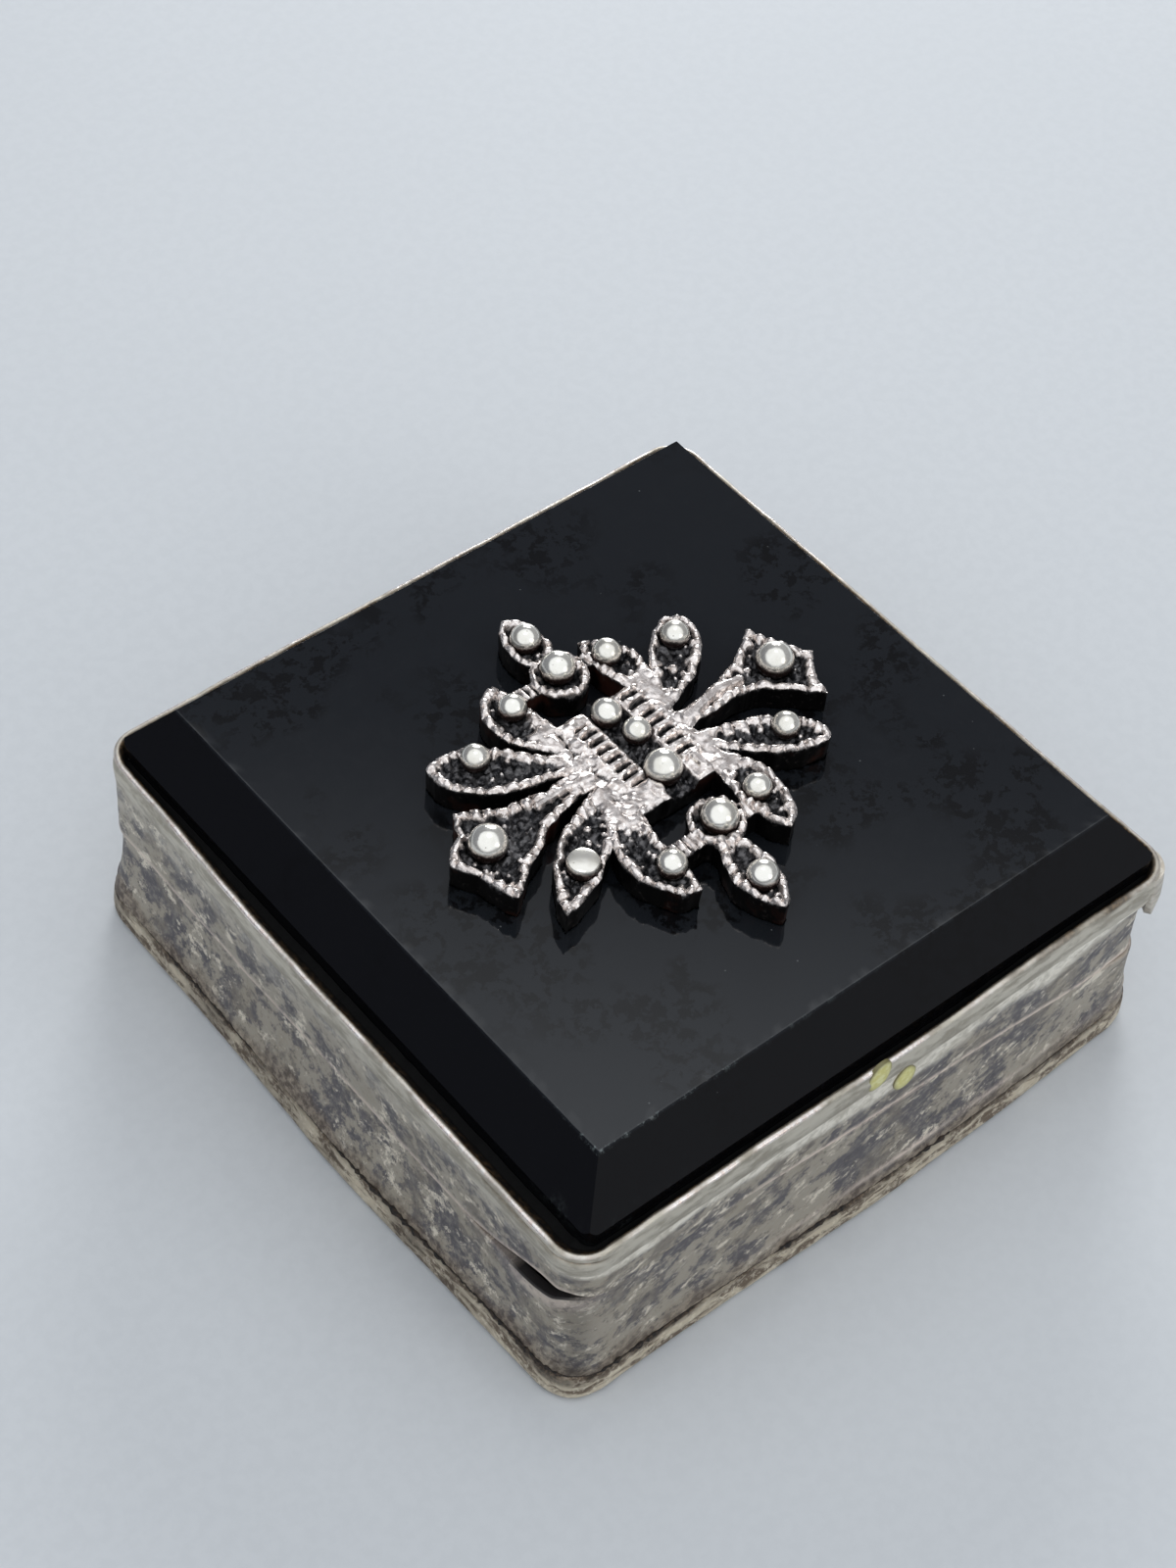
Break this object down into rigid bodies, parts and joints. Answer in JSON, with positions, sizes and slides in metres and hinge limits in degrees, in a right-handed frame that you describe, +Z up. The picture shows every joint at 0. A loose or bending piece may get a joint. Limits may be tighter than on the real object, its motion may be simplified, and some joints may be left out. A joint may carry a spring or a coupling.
{
  "type": "pill box",
  "caption": "Small square silver box with a hinged lid, a bevelled black stone set in the lid and a cast floral spray of beads on the stone.",
  "frame": {"origin": "centre of the base plate's flat underside, the face the box stands on", "axes": "+Z up out of the lid; the hinge runs along X at the back, the +Y side; the front faces -Y"},
  "size_m": [0.0322, 0.0322, 0.0151],
  "materials": {
    "wall_silver": "tarnished silver sheet, mottled grey, worn brighter on the edges",
    "foot_silver": "rubbed silver moulding with brown tarnish in its upper corner",
    "bezel_silver": "hand-polished silver strip, slightly wavy",
    "inside_silver": "satin silver sheet, lightly tarnished",
    "hinge_silver": "drawn silver tube and wire, dull",
    "cast_silver": "cast silver, bright rims and blackened hollows",
    "bead_silver": "polished silver grains",
    "black_onyx": "polished black onyx with faint smears and dust"
  },
  "bodies": {
    "base": {"base_plate": "inside_silver", "foot_rim": "foot_silver", "base_wall": "wall_silver", "bearer": "inside_silver", "base_knuckle_1": "hinge_silver", "base_knuckle_2": "hinge_silver", "base_knuckle_3": "hinge_silver", "hinge_pin": "hinge_silver"},
    "lid": {"lid_wall": "wall_silver", "lid_plate": "inside_silver", "bezel": "bezel_silver", "onyx": "black_onyx", "cast_spray": "cast_silver", "lid_knuckle_1": "hinge_silver", "lid_knuckle_2": "hinge_silver", "bead_top_leaf": "bead_silver", "bead_top_flower": "bead_silver", "bead_top_left_petal": "bead_silver", "bead_top_right_petal": "bead_silver", "bead_upper_left_petal": "bead_silver", "bead_upper_right_petal": "bead_silver", "bead_left_flare": "bead_silver", "bead_right_flare": "bead_silver", "bead_lower_left_petal": "bead_silver", "bead_lower_right_petal": "bead_silver", "bead_bottom_left_petal": "bead_silver", "bead_bottom_right_petal": "bead_silver", "bead_bottom_flower": "bead_silver", "bead_bottom_leaf": "bead_silver", "bead_middle_top": "bead_silver", "bead_middle": "bead_silver", "bead_middle_bottom": "bead_silver"}
  },
  "joints": [
    {"name": "lid_hinge", "type": "hinge", "parent": "base", "child": "lid", "pos_m": [0, 0.01532, 0.00565], "axis": [-1, 0, 0], "range_deg": [0, 110]}
  ]
}
